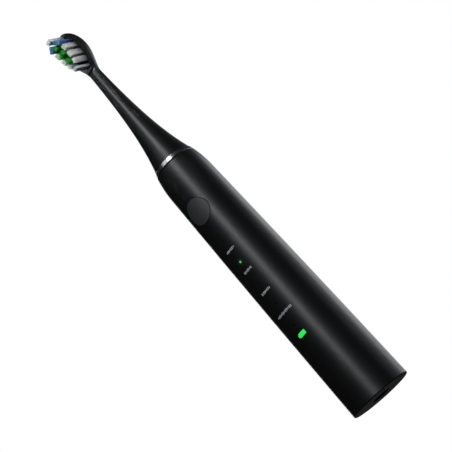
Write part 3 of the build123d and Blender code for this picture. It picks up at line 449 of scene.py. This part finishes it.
FINISHES: dict[str, Finish] = {
    # This finish carries the painted green glow round the lit mode light.
    "shell_plastic": HaloPlastic(
        "soft_touch_black",
        BLACK,
        SOFT_BLACK,
        (0.38, 0.41),
        grain_scale=6500.0,
        grain_depth=0.000006,
    ),
    "head_plastic": Finish(
        "satin_black_head",
        BLACK,
        SOFT_BLACK,
        (0.36, 0.39),
        grain_scale=6500.0,
        grain_depth=0.000006,
    ),
    "cap_plastic": Finish(
        "satin_base_cap",
        (0.008, 0.008, 0.0085),
        (0.01, 0.01, 0.0105),
        (0.42, 0.5),
    ),
    "button_plastic": Finish(
        "matt_button_grey",
        (0.03, 0.031, 0.033),
        (0.037, 0.038, 0.04),
        (0.5, 0.58),
        grain_scale=7500.0,
    ),
    "ring_metal": Finish(
        "satin_nickel_ring",
        (0.46, 0.46, 0.48),
        (0.52, 0.52, 0.53),
        (0.22, 0.26),
        metallic=1.0,
        grain=Grain.ROUND,
        grain_depth=0.000003,
    ),
    "seal_rubber": Finish(
        "seal_rubber_grey",
        (0.03, 0.03, 0.03),
        (0.05, 0.05, 0.05),
        (0.6, 0.75),
        grain_depth=0.00003,
    ),
    "frame_plastic": Finish("frame_white_nylon", (0.62, 0.62, 0.6), (0.7, 0.7, 0.67), (0.45, 0.55)),
    "copper_wire": Winding(
        "enamelled_copper",
        (0.5, 0.17, 0.06),
        (0.62, 0.24, 0.09),
        (0.25, 0.35),
        metallic=1.0,
    ),
    "ferrite": Finish(
        "sintered_ferrite",
        (0.035, 0.034, 0.034),
        (0.06, 0.058, 0.055),
        (0.6, 0.8),
        grain_depth=0.00006,
    ),
    "cell_wrap": Finish(
        "cell_wrap_blue",
        (0.02, 0.06, 0.22),
        (0.03, 0.08, 0.28),
        (0.25, 0.35),
        coat=0.3,
    ),
    "nickel": Finish(
        "nickel_strip",
        (0.6, 0.58, 0.53),
        (0.68, 0.66, 0.6),
        (0.25, 0.4),
        metallic=1.0,
        grain=Grain.ROUND,
    ),
    "board_laminate": Laminate(
        "board_green",
        (0.006, 0.07, 0.03),
        (0.008, 0.085, 0.035),
        (0.3, 0.4),
    ),
    "chip_plastic": Finish("chip_black", (0.018, 0.018, 0.019), (0.03, 0.03, 0.03), (0.5, 0.65)),
    "led_resin": Finish(
        "led_resin",
        (0.75, 0.72, 0.5),
        (0.85, 0.83, 0.62),
        (0.2, 0.3),
        transmission=0.2,
    ),
    "light_pipe_clear": LitResin(
        "smoked_light_pipe",
        (0.003, 0.003, 0.0035),
        (0.004, 0.004, 0.0045),
        (0.5, 0.6),
        specular=0.1,
        glow_low=0.0785,
        glow_high=0.0815,
        glow_colour=(0.25, 0.9, 0.35),
        glow_strength=0.6,
    ),
    "gauge_lens": LitResin(
        "battery_light_lens",
        (0.01, 0.1, 0.02),
        (0.012, 0.12, 0.025),
        (0.2, 0.3),
        glow_colour=(0.03, 0.8, 0.12),
        glow_strength=0.95,
    ),
    "baffle_foam": Finish(
        "baffle_foam",
        (0.02, 0.02, 0.02),
        (0.04, 0.04, 0.04),
        (0.85, 0.95),
        grain_scale=2400.0,
        grain_depth=0.0001,
    ),
    "switch_metal": Finish(
        "switch_plate",
        (0.55, 0.55, 0.55),
        (0.62, 0.62, 0.6),
        (0.25, 0.4),
        metallic=1.0,
    ),
    "motor_steel": Finish(
        "plated_motor_case",
        (0.5, 0.5, 0.5),
        (0.58, 0.58, 0.57),
        (0.22, 0.36),
        metallic=1.0,
        grain=Grain.ROUND,
    ),
    "motor_plastic": Finish(
        "motor_cap_black",
        (0.03, 0.03, 0.032),
        (0.045, 0.045, 0.046),
        (0.4, 0.5),
    ),
    "bush_bronze": Finish(
        "sintered_bronze",
        (0.42, 0.25, 0.1),
        (0.5, 0.31, 0.14),
        (0.4, 0.55),
        metallic=1.0,
        grain_depth=0.00004,
    ),
    "core_steel": Finish(
        "laminated_core",
        (0.3, 0.3, 0.3),
        (0.4, 0.4, 0.4),
        (0.35, 0.5),
        metallic=1.0,
        grain=Grain.ROUND,
    ),
    "magnet_plate": Finish(
        "plated_magnet",
        (0.58, 0.58, 0.6),
        (0.66, 0.66, 0.67),
        (0.15, 0.25),
        metallic=1.0,
    ),
    "shaft_steel": Finish(
        "ground_steel_shaft",
        (0.55, 0.55, 0.56),
        (0.62, 0.62, 0.63),
        (0.16, 0.26),
        metallic=1.0,
        grain=Grain.ROUND,
        grain_depth=0.000008,
    ),
    "wire_insulation": Finish(
        "wire_insulation_red",
        (0.3, 0.02, 0.015),
        (0.36, 0.03, 0.02),
        (0.35, 0.45),
    ),
    "insert_plastic": Finish(
        "insert_grey_acetal",
        (0.34, 0.34, 0.34),
        (0.42, 0.42, 0.41),
        (0.4, 0.5),
    ),
    "anchor_brass": Finish(
        "tuft_anchor_brass",
        (0.55, 0.4, 0.13),
        (0.62, 0.46, 0.17),
        (0.3, 0.4),
        metallic=1.0,
    ),
    # The bristles' root colours are painted shade and their tip colours are painted light. The white tips'
    # green cast is a painted reflection of the green tufts.
    "bristle_white": Filament(
        "white_filament",
        (0.56, 0.55, 0.55),
        (0.74, 0.74, 0.73),
        (0.32, 0.42),
        shaded_root_colour=(0.25, 0.25, 0.25),
        lit_tip_colour=(0.78, 0.86, 0.77),
    ),
    "bristle_green": Filament(
        "green_filament",
        (0.004, 0.2, 0.008),
        (0.008, 0.32, 0.015),
        (0.3, 0.4),
        shaded_root_colour=(0.002, 0.06, 0.003),
        lit_tip_colour=(0.03, 0.5, 0.05),
    ),
    "bristle_blue": Filament(
        "blue_filament",
        (0.04, 0.13, 0.34),
        (0.06, 0.19, 0.45),
        (0.3, 0.4),
        shaded_root_colour=(0.01, 0.04, 0.1),
        lit_tip_colour=(0.1, 0.28, 0.5),
    ),
}


class Workshop:
    """Builds each finish once and dresses the carried-over pieces in them."""

    def __init__(self) -> None:
        """Starts with no finish built."""
        self.built: dict[str, bpy.types.Material] = {}

    def finish(self, slot: str) -> bpy.types.Material:
        """Gives the material of a slot.

        Args:
            slot: The record's material slot.

        Returns:
            The slot's material, built on first use.
        """
        if slot not in self.built:
            self.built[slot] = FINISHES[slot].build()
        return self.built[slot]

    def dress(self, node: bpy.types.Object) -> None:
        """Puts the right finish in each of a carried-over piece's material slots.

        Args:
            node: The piece.
        """
        for place in node.material_slots:
            slot = place.material.name.split(".")[0]
            place.material = self.finish(slot)


# ---- Small mesh helpers ----
def hull(points: list[Point2]) -> list[Point2]:
    """Convex outline of flat points, counter-clockwise.

    Args:
        points: The points.

    Returns:
        The outline's corners.
    """
    ordered = sorted(set(points))

    def half(run: list[Point2]) -> list[Point2]:
        """One side of the outline."""
        side: list[Point2] = []
        for p in run:
            while len(side) > 1 and turn(side[-2], side[-1], p) <= 0:
                side.pop()
            side.append(p)
        return side[:-1]

    return half(ordered) + half(ordered[::-1])


def turn(a: Point2, b: Point2, c: Point2) -> float:
    """Twice the signed area of a corner."""
    return (b[0] - a[0]) * (c[1] - a[1]) - (b[1] - a[1]) * (c[0] - a[0])


def inside(outline: list[Point2], point: Point2, margin: float) -> bool:
    """Whether a point lies in a convex outline with room to spare.

    Args:
        outline: Corners, counter-clockwise.
        point: The point.
        margin: Least distance to each side.

    Returns:
        True when it does.
    """
    for a, b in zip(outline, outline[1:] + outline[:1]):
        length = math.dist(a, b)
        if length > NO_LENGTH and turn(a, b, point) / length < margin:
            return False
    return True


def solids_of(node: bpy.types.Object) -> list[list[Vector]]:
    """Splits a carried-over piece into its separate solids.

    Args:
        node: The piece.

    Returns:
        The corners of each solid.
    """
    work = bmesh.new()
    work.from_mesh(node.data)
    bmesh.ops.remove_doubles(work, verts=work.verts, dist=WELD)
    left = set(work.verts)
    solids: list[list[Vector]] = []
    while left:
        group: list[Vector] = []
        edge = [left.pop()]
        while edge:
            corner = edge.pop()
            group.append(corner.co.copy())
            for link in corner.link_edges:
                other = link.other_vert(corner)
                if other in left:
                    left.remove(other)
                    edge.append(other)
        solids.append(group)
    work.free()
    solids.sort(key=lambda group: tuple(round(v, 5) for v in sum(group, Vector()) / len(group)))
    return solids


def new_piece(name: str, work: bmesh.types.BMesh, material: bpy.types.Material) -> bpy.types.Object:
    """Turns a worked mesh into a piece in the scene.

    Args:
        name: The piece's name.
        work: The mesh, which is freed.
        material: Its finish.

    Returns:
        The new piece.
    """
    mesh = bpy.data.meshes.new(name)
    work.to_mesh(mesh)
    work.free()
    for face in mesh.polygons:
        face.use_smooth = True
    mesh.materials.append(material)
    piece = bpy.data.objects.new(name, mesh)
    bpy.context.scene.collection.objects.link(piece)
    return piece


# ---- Brush head ----
@dataclass
class TuftGroup:
    """All tufts of one colour, each a bundle of round-tipped filaments."""

    node: str
    piece: str
    slot: str
    seed: int
    face_tilt: float = 5.0
    filament_radius: float = 0.088 * MM
    pitch: float = 0.178 * MM
    lean: float = 0.03 * MM
    unevenness: float = 0.03 * MM
    sides: int = 5
    tip_start: float = 1.2
    tip_end: float = 0.35
    tip_share: float = 0.72
    darkest: float = 0.8

    def build(self, workshop: Workshop) -> bpy.types.Object:
        """Makes the bundles in place of the plain tuft solids.

        Args:
            workshop: Gives the finish.

        Returns:
            The piece.
        """
        chance = random.Random(self.seed)
        work = bmesh.new()
        reach = work.verts.layers.float.new("reach")
        shade = work.loops.layers.float_color.new("shade")
        for corners in solids_of(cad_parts[self.node]):
            self.bundle(work, reach, shade, corners, chance)
        made = new_piece(self.piece, work, workshop.finish(self.slot))
        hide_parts(self.node)
        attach(made, Body.BRUSH_HEAD.value)
        return made

    def axes(self) -> tuple[Vector, Vector, Vector]:
        """Across, along and outward directions of the bristle face."""
        tilt = math.radians(self.face_tilt)
        across = Vector((1.0, 0.0, 0.0))
        outward = Vector((0.0, -math.cos(tilt), -math.sin(tilt)))
        return across, outward.cross(across), outward

    def bundle(
        self,
        work: bmesh.types.BMesh,
        reach: object,
        shade: object,
        corners: list[Vector],
        chance: random.Random,
    ) -> None:
        """Fills one tuft's outline with filaments.

        Args:
            work: The mesh to add to.
            reach: Vertex layer for the place along a filament.
            shade: Corner colour layer for the filament's own tint.
            corners: The corners of the tuft's plain solid.
            chance: The group's random source.
        """
        across, along, outward = self.axes()
        flat = [(p.dot(across), p.dot(along)) for p in corners]
        heights = [p.dot(outward) for p in corners]
        outline = hull(flat)
        low, high = min(heights), max(heights)
        row = 0
        v = min(p[1] for p in flat)
        while v < max(p[1] for p in flat):
            u = min(p[0] for p in flat) + (row % 2) * self.pitch / 2
            while u < max(p[0] for p in flat):
                if inside(outline, (u, v), self.filament_radius):
                    self.filament(work, reach, shade, (u, v), (low, high), chance)
                u += self.pitch
            v += self.pitch * math.sqrt(3) / 2
            row += 1

    def filament(
        self,
        work: bmesh.types.BMesh,
        reach: object,
        shade: object,
        foot: Point2,
        span: tuple[float, float],
        chance: random.Random,
    ) -> None:
        """Makes one filament with a rounded tip.

        Args:
            work: The mesh to add to.
            reach: Vertex layer for the place along a filament.
            shade: Corner colour layer for the filament's own tint.
            foot: Where it stands on the face.
            span: Its lowest and highest place along the outward direction.
            chance: The group's random source.
        """
        across, along, outward = self.axes()
        low, high = span
        high -= chance.random() * self.unevenness
        bend_u = chance.uniform(-1, 1) * self.lean
        bend_v = chance.uniform(-1, 1) * self.lean
        r = self.filament_radius
        rings = (
            (low, 1.0),
            ((low + high) / 2, 1.0),
            (high - self.tip_start * r, 1.0),
            (high - self.tip_end * r, self.tip_share),
        )
        tint = chance.uniform(self.darkest, 1.0)
        start = chance.random() * math.tau
        loops: list[list[bmesh.types.BMVert]] = []
        for height, share in rings:
            t = (height - low) / (high - low)
            u = foot[0] + bend_u * t * t
            v = foot[1] + bend_v * t * t
            centre = across * u + along * v + outward * height
            ring = []
            for k in range(self.sides):
                angle = start + math.tau * k / self.sides
                spoke = across * math.cos(angle) + along * math.sin(angle)
                corner = work.verts.new(centre + spoke * r * share)
                corner[reach] = t
                ring.append(corner)
            loops.append(ring)
        tip = work.verts.new(across * (foot[0] + bend_u) + along * (foot[1] + bend_v) + outward * high)
        tip[reach] = 1.0
        faces = [work.faces.new(loops[0][::-1])]
        for lower, upper in zip(loops, loops[1:]):
            for k in range(self.sides):
                n = (k + 1) % self.sides
                faces.append(work.faces.new((lower[k], lower[n], upper[n], upper[k])))
        for k in range(self.sides):
            faces.append(work.faces.new((loops[-1][k], loops[-1][(k + 1) % self.sides], tip)))
        for face in faces:
            for corner in face.loops:
                corner[shade] = (tint, tint, tint, 1.0)


@dataclass
class BrushHead:
    """The slim head with its three colours of bristles."""

    tufts: tuple[TuftGroup, ...] = (
        TuftGroup("white_tufts", "white_bristles", "bristle_white", 11),
        TuftGroup("green_tufts", "green_bristles", "bristle_green", 23),
        TuftGroup("blue_tufts", "blue_bristles", "bristle_blue", 37),
    )

    def build(self, workshop: Workshop) -> list[bpy.types.Object]:
        """Makes the bristles.

        Args:
            workshop: Gives the finishes.

        Returns:
            The pieces made.
        """
        return [group.build(workshop) for group in self.tufts]


# ---- Handle ----
@dataclass
class ModeMarks:
    """Rows of plain printed ticks beside the mode lights, one row for each mode."""

    heights: tuple[float, ...] = (86.8, 75.0, 63.0, 51.0)
    widths: tuple[float, ...] = (5.5, 5.3, 6.0, 9.6)
    tick_height: float = 1.15
    tick_width: float = 0.42
    tick_pitch: float = 0.78
    ink_depth: float = 0.02
    steps: int = 3
    full_share: float = 1.0
    short_share: float = 0.62
    rhythm: int = 3
    cast_from: float = -30.0
    ink: Finish = Finish(
        "mark_ink_grey",
        (0.62, 0.62, 0.63),
        (0.7, 0.7, 0.71),
        (0.5, 0.6),
        grain_depth=0.00001,
    )

    def build(self) -> bpy.types.Object:
        """Prints the ticks on the handle's own surface.

        Returns:
            The piece.
        """
        work = bmesh.new()
        skin = BVHTree.FromPolygons(*self.surface(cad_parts["handle_shell"]))
        for number, (height, width) in enumerate(zip(self.heights, self.widths)):
            count = round(width / self.tick_pitch)
            for k in range(count):
                middle = (k - (count - 1) / 2) * width / count
                share = self.full_share if (k + number) % self.rhythm else self.short_share
                self.tick(work, skin, middle, height, share)
        made = new_piece("mode_marks", work, self.ink.build())
        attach(made, Body.HANDLE.value)
        return made

    def surface(self, node: bpy.types.Object) -> tuple[list[Vector], list[tuple[int, ...]]]:
        """Corners and faces of a carried-over piece."""
        corners = [v.co.copy() for v in node.data.vertices]
        return corners, [tuple(p.vertices) for p in node.data.polygons]

    def tick(
        self,
        work: bmesh.types.BMesh,
        skin: BVHTree,
        middle: float,
        height: float,
        share: float,
    ) -> None:
        """Lays one tick on the skin.

        Args:
            work: The mesh to add to.
            skin: The handle's surface.
            middle: The tick's middle across the handle, in millimetres.
            height: Its height on the handle, in millimetres.
            share: Its length as a share of the full tick.
        """
        rows = []
        for i in range(self.steps + 1):
            x = middle + (i / self.steps - 0.5) * self.tick_width
            row = []
            for j in range(self.steps + 1):
                z = height + (j / self.steps - 0.5) * self.tick_height * share
                start = Vector((x * MM, self.cast_from * MM, z * MM))
                hit, normal, _, _ = skin.ray_cast(start, Vector((0.0, 1.0, 0.0)))
                outer = work.verts.new(hit + normal * self.ink_depth * MM)
                inner = work.verts.new(hit - normal * self.ink_depth * MM)
                row.append((outer, inner))
            rows.append(row)
        for i in range(self.steps):
            for j in range(self.steps):
                a, b, c, d = rows[i][j], rows[i + 1][j], rows[i + 1][j + 1], rows[i][j + 1]
                work.faces.new((a[0], b[0], c[0], d[0]))
                work.faces.new((d[1], c[1], b[1], a[1]))
        last = self.steps
        border = [rows[i][0] for i in range(last)] + [rows[last][j] for j in range(last)]
        border += [rows[i][last] for i in range(last, 0, -1)] + [rows[0][j] for j in range(last, 0, -1)]
        for a, b in zip(border, border[1:] + border[:1]):
            work.faces.new((a[1], b[1], b[0], a[0]))


@dataclass
class Handle:
    """The handle and what it carries: kept pieces in their finishes, plus the printed marks."""

    marks: ModeMarks

    def build(self, workshop: Workshop) -> list[bpy.types.Object]:
        """Dresses every kept piece and prints the marks.

        Args:
            workshop: Gives the finishes.

        Returns:
            The pieces made.
        """
        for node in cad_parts.values():
            workshop.dress(node)
        return [self.marks.build()]


# ---- Studio ----
@dataclass
class SoftBox:
    """One rectangular soft light."""

    name: str
    place: Vector
    aim: Vector
    width: float
    height: float
    power: float
    warmth: Colour = (0.93, 0.97, 1.0)
    beam: float = 180.0

    def build(self) -> None:
        """Hangs the light, its height upright, facing its aim."""
        data = bpy.data.lights.new(self.name, "AREA")
        data.shape = "RECTANGLE"
        data.size = self.width
        data.size_y = self.height
        data.energy = self.power
        data.color = self.warmth
        data.spread = math.radians(self.beam)
        lamp = bpy.data.objects.new(self.name, data)
        lamp.location = self.place
        lamp.rotation_mode = "QUATERNION"
        lamp.rotation_quaternion = (self.aim - self.place).to_track_quat("-Z", "Y")
        bpy.context.scene.collection.objects.link(lamp)


@dataclass
class Studio:
    """Pale floor, white surroundings, soft lights and the camera.

    The lights aim at the middle of the object, its bristles, its ring or the foot of its base.
    """

    middle: Vector
    head: Vector
    ring: Vector
    foot: Vector
    floor_drop: float = -0.14
    floor_size: float = 3.0
    floor_cells: int = 24
    floor_glow: float = 0.55
    floor_finish: Finish = Finish(
        "pale_floor",
        (0.8, 0.8, 0.8),
        (0.83, 0.83, 0.83),
        (0.7, 0.8),
        drift_scale=3.0,
        grain_scale=300.0,
    )
    surround: float = 0.015
    camera_place: Vector = Vector((0.2734, -0.4228, -0.0522))
    camera_right: Vector = Vector((0.5227, 0.5685, -0.6353))
    camera_up: Vector = Vector((0.6737, 0.1812, 0.7164))
    lens: float = 95.575
    sensor: float = 36.0
    nearest: float = 0.01
    farthest: float = 20.0

    def build(self) -> None:
        """Sets up floor, surroundings, lights and camera."""
        self.floor()
        self.world()
        for light in self.lights():
            light.build()
        self.camera()
        bpy.context.scene.view_settings.view_transform = "Standard"

    def bearing(self, azimuth: float, rise: float, distance: float) -> Vector:
        """A place round the object.

        Args:
            azimuth: Degrees from the front, towards the object's right.
            rise: Height over the object's middle.
            distance: Level distance from it.

        Returns:
            The place.
        """
        angle = math.radians(azimuth)
        return self.middle + Vector((math.sin(angle) * distance, -math.cos(angle) * distance, rise))

    def lights(self) -> list[SoftBox]:
        """The soft lights: name, place, aim, width, height and power in watts."""
        aim, head, ring, foot = self.middle, self.head, self.ring, self.foot
        return [
            SoftBox("key_strip", self.bearing(25, 0.36, 0.6), aim, 0.18, 0.9, 3.6),
            SoftBox("rim_strip", self.bearing(158, 0.115, 0.6), aim, 0.3, 0.36, 0.9),
            SoftBox("low_fill", self.bearing(40, -0.22, 0.3), aim, 0.2, 0.2, 0.035),
            SoftBox("side_fill", self.bearing(122, 0.06, 0.7), aim, 0.3, 0.3, 0.16),
            SoftBox("back_fill", self.bearing(192, 0.115, 0.7), aim, 0.45, 0.36, 0.9),
            SoftBox("back_strip", self.bearing(228, 0.2, 0.6), aim, 0.1, 0.6, 0.4),
            SoftBox("cap_glow", self.bearing(213, -0.21, 0.35), foot, 0.3, 0.14, 0.012),
            SoftBox("head_right", self.bearing(66, 0.2, 0.6), head, 0.06, 0.06, 0.015, beam=14.0),
            SoftBox("head_left", self.bearing(-40, 0.2, 0.6), head, 0.06, 0.06, 0.007, beam=14.0),
            SoftBox("ring_top", self.bearing(-7, 0.62, 0.5), ring, 0.5, 0.1, 0.035, beam=60.0),
        ]

    def floor(self) -> None:
        """Lays a wide, slightly uneven pale floor that doesn't light or mirror on the object."""
        work = bmesh.new()
        cells = self.floor_cells
        bmesh.ops.create_grid(work, x_segments=cells, y_segments=cells, size=self.floor_size)
        for corner in work.verts:
            corner.co.z = self.floor_drop
        material = self.floor_finish.build()
        shader = material.node_tree.nodes["Principled BSDF"]
        shader.inputs["Emission Color"].default_value = WHITE
        shader.inputs["Emission Strength"].default_value = self.floor_glow
        floor = new_piece("floor", work, material)
        floor.visible_glossy = False
        floor.visible_diffuse = False

    def world(self) -> None:
        """Shows white all round, but lights the object only faintly."""
        world = bpy.data.worlds.new("white_room")
        world.use_nodes = True
        tree = world.node_tree
        tree.nodes.clear()
        seen = tree.nodes.new("ShaderNodeBackground")
        seen.inputs["Color"].default_value = WHITE
        lit = tree.nodes.new("ShaderNodeBackground")
        lit.inputs["Color"].default_value = WHITE
        lit.inputs["Strength"].default_value = self.surround
        path = tree.nodes.new("ShaderNodeLightPath")
        choose = tree.nodes.new("ShaderNodeMixShader")
        output = tree.nodes.new("ShaderNodeOutputWorld")
        tree.links.new(path.outputs["Is Camera Ray"], choose.inputs["Fac"])
        tree.links.new(lit.outputs["Background"], choose.inputs[1])
        tree.links.new(seen.outputs["Background"], choose.inputs[2])
        tree.links.new(choose.outputs["Shader"], output.inputs["Surface"])
        bpy.context.scene.world = world

    def camera(self) -> None:
        """Places the camera."""
        data = bpy.data.cameras.new("camera")
        data.lens = self.lens
        data.sensor_width = self.sensor
        data.clip_start = self.nearest
        data.clip_end = self.farthest
        back = self.camera_right.cross(self.camera_up)
        turned = Matrix((self.camera_right, self.camera_up, back)).transposed()
        camera = bpy.data.objects.new("camera", data)
        camera.matrix_world = Matrix.Translation(self.camera_place) @ turned.to_4x4()
        bpy.context.scene.collection.objects.link(camera)
        bpy.context.scene.camera = camera


def main() -> None:
    """Builds the toothbrush, then the studio round it."""
    logging.basicConfig(level=logging.INFO, format="%(name)s: %(message)s")
    workshop = Workshop()
    made = Handle(ModeMarks()).build(workshop) + BrushHead().build(workshop)
    for piece in made:
        log.info("%s: %d faces", piece.name, len(piece.data.polygons))
    low, high = CAD_BOX
    Studio(
        middle=(low + high) / 2,
        head=Vector((0.0, -0.005, 0.21)),
        ring=Vector((0.0, 0.0, 0.137)),
        foot=Vector((0.0, 0.0, 0.0)),
    ).build()


if __name__ == "__main__":
    main()
